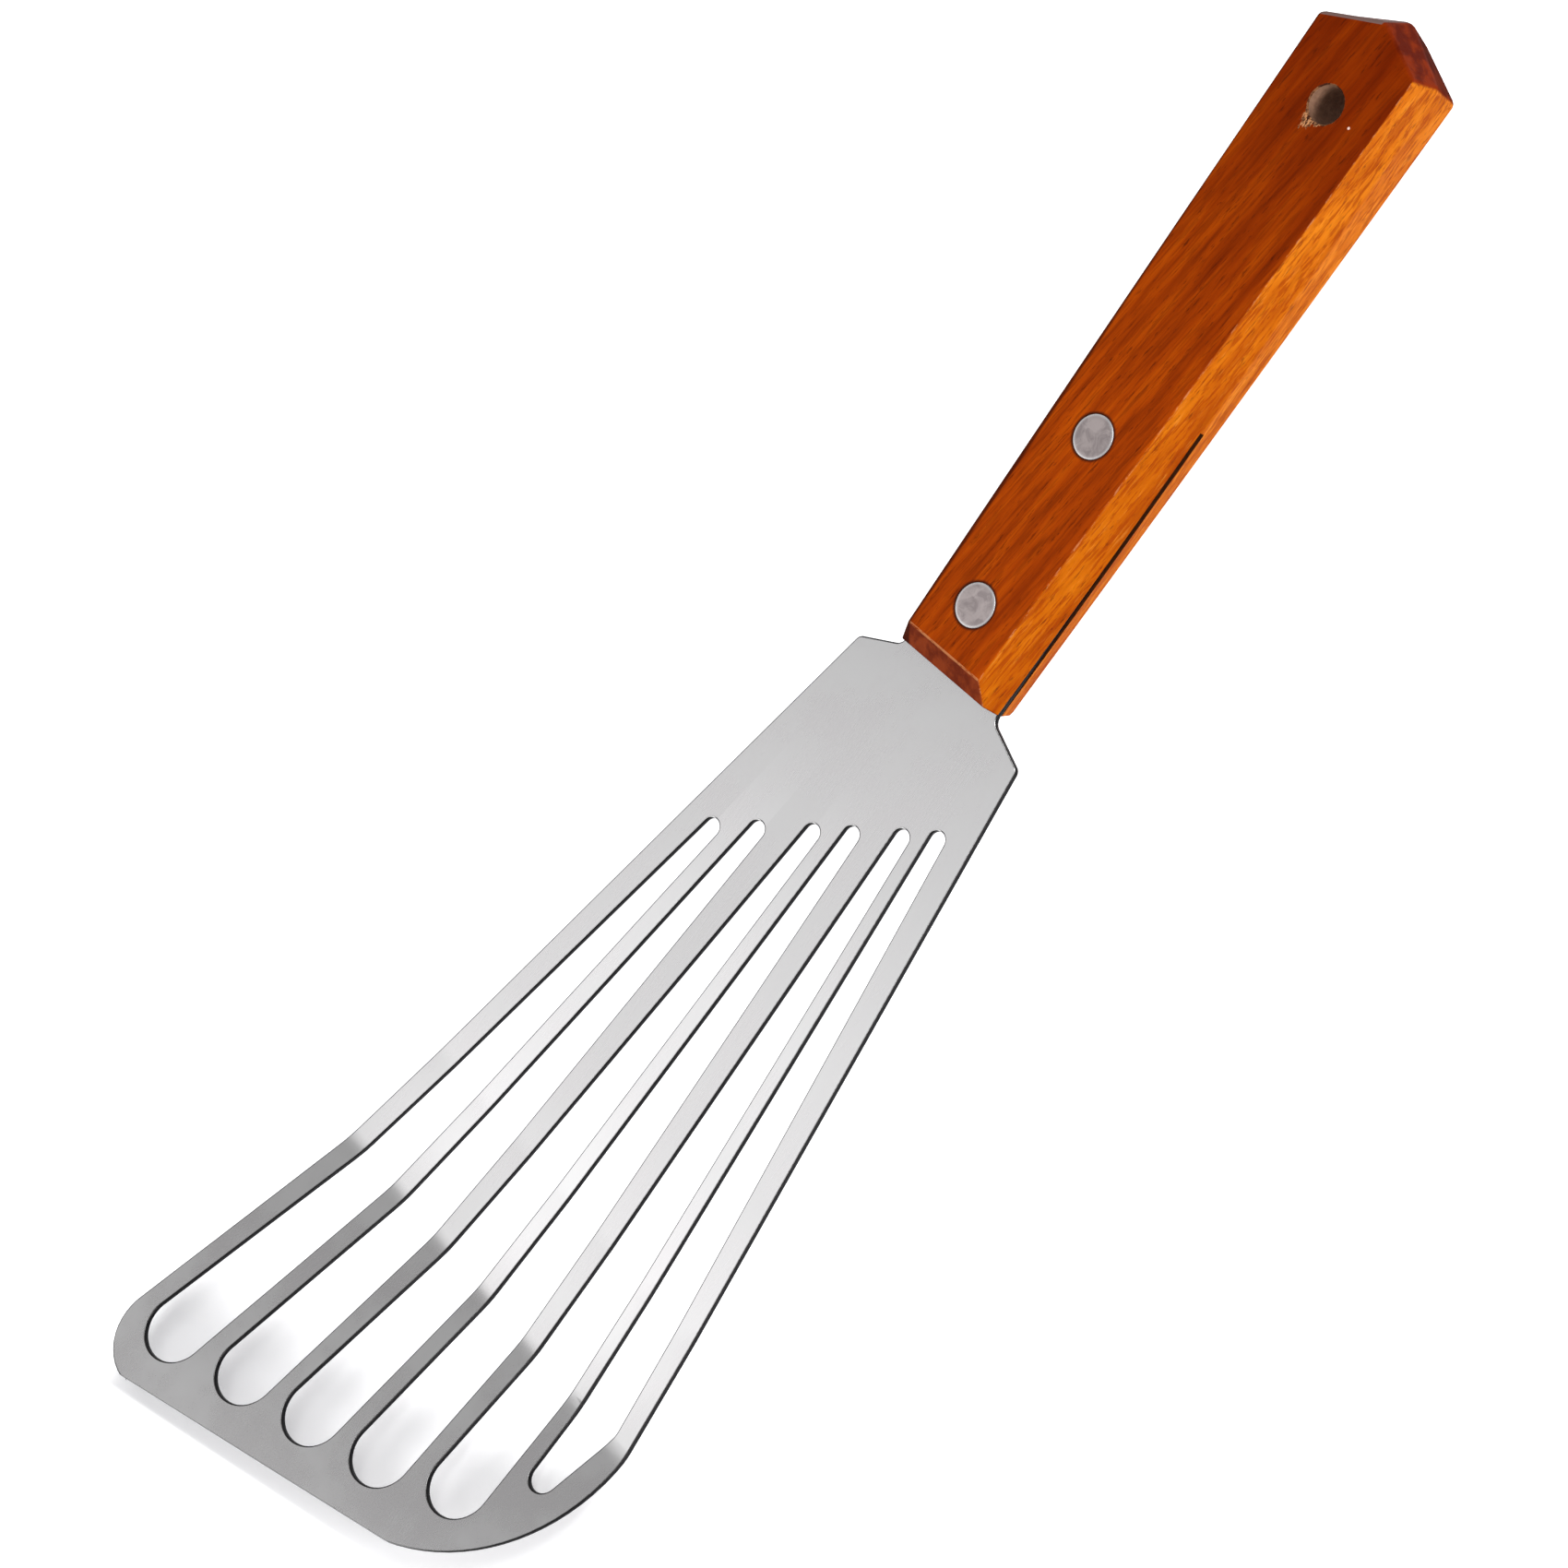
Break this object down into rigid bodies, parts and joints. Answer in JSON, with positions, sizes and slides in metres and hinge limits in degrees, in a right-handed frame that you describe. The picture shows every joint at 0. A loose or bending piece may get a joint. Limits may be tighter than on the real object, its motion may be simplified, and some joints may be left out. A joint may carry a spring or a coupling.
{
  "type": "fish spatula",
  "caption": "Slotted fish spatula with a flared, upturned sheet-steel blade and a faceted wooden handle with flush rivets and a hang hole.",
  "frame": {"origin": "on the axis of the hang hole, halfway through the thickness of the handle", "axes": "+X along the handle towards the tip of the blade, +Y to the side of the blade with the large round corner, +Z along the hang hole, out of the face that the tip bends up towards"},
  "size_m": [0.3189, 0.0933, 0.0222],
  "materials": {
    "handle_wood": "varnished reddish-brown hardwood",
    "blade_steel": "fine satin stainless steel",
    "rivet_metal": "dull, scuffed and sanded flush"
  },
  "bodies": {
    "root": {"handle": "handle_wood", "blade": "blade_steel", "rear_rivet_socket": "rivet_metal", "rear_rivet_pin": "rivet_metal", "front_rivet_socket": "rivet_metal", "front_rivet_pin": "rivet_metal"}
  },
  "joints": []
}
